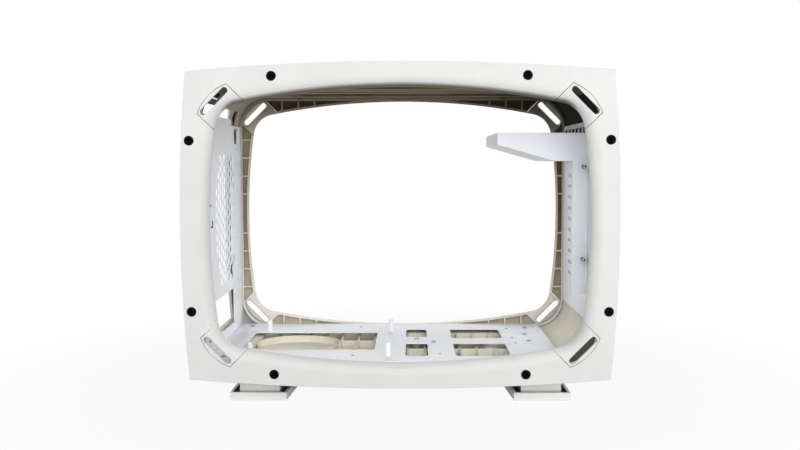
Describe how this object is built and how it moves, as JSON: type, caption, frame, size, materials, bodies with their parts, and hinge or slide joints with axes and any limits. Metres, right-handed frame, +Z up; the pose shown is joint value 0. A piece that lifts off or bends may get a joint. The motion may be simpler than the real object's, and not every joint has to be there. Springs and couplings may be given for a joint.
{
  "type": "computer case",
  "caption": "Open computer case shaped like a picture tube set, with bowed frames front and rear, a ribbed shell, sheet metal tray, vented connector panel, arm and feet.",
  "frame": {"origin": "on the floor under the middle of the case", "axes": "+X to the right seen from the front, +Y from front to rear, +Z up"},
  "size_m": [0.476, 0.276, 0.3734],
  "materials": {
    "frame_white": "fine moulded texture, warm white",
    "shell_cream": "fine moulded texture, cream",
    "sheet_white": "white powder coat",
    "socket_black": "black",
    "screw_steel": "plated steel",
    "post_white": "white coat",
    "foot_white": "fine moulded texture, white",
    "pad_rubber": "soft black rubber",
    "module_plastic": "fine moulded texture",
    "button_plastic": "smooth moulded",
    "port_steel": "plated steel"
  },
  "bodies": {
    "case": {"front_frame": "frame_white", "rear_frame": "frame_white", "front_insert_upper_left": "frame_white", "front_insert_upper_right": "frame_white", "front_insert_lower_left": "frame_white", "front_insert_lower_right": "frame_white", "rear_insert_upper_left": "frame_white", "rear_insert_upper_right": "frame_white", "rear_insert_lower_left": "frame_white", "rear_insert_lower_right": "frame_white", "front_sockets": "socket_black", "rear_sockets": "socket_black", "front_shell": "shell_cream", "rear_shell": "shell_cream", "tray": "sheet_white", "io_panel": "sheet_white", "side_panel": "sheet_white", "arm_bracket": "sheet_white", "tray_screws": "screw_steel", "tray_spacers": "shell_cream", "board_posts": "post_white", "leg_spacers": "screw_steel", "foot_front_left": "foot_white", "foot_front_right": "foot_white", "foot_rear_left": "foot_white", "foot_rear_right": "foot_white", "foot_pads": "pad_rubber", "control_module": "module_plastic", "power_switch": "socket_black", "data_ports": "port_steel", "sound_jack": "socket_black"},
    "button": {"power_button": "button_plastic"}
  },
  "joints": [
    {"name": "power_press", "type": "slide", "parent": "case", "child": "button", "axis": [-1, 0, 0], "range_m": [0, 0.0015], "stiffness_N_per_m": 400}
  ]
}
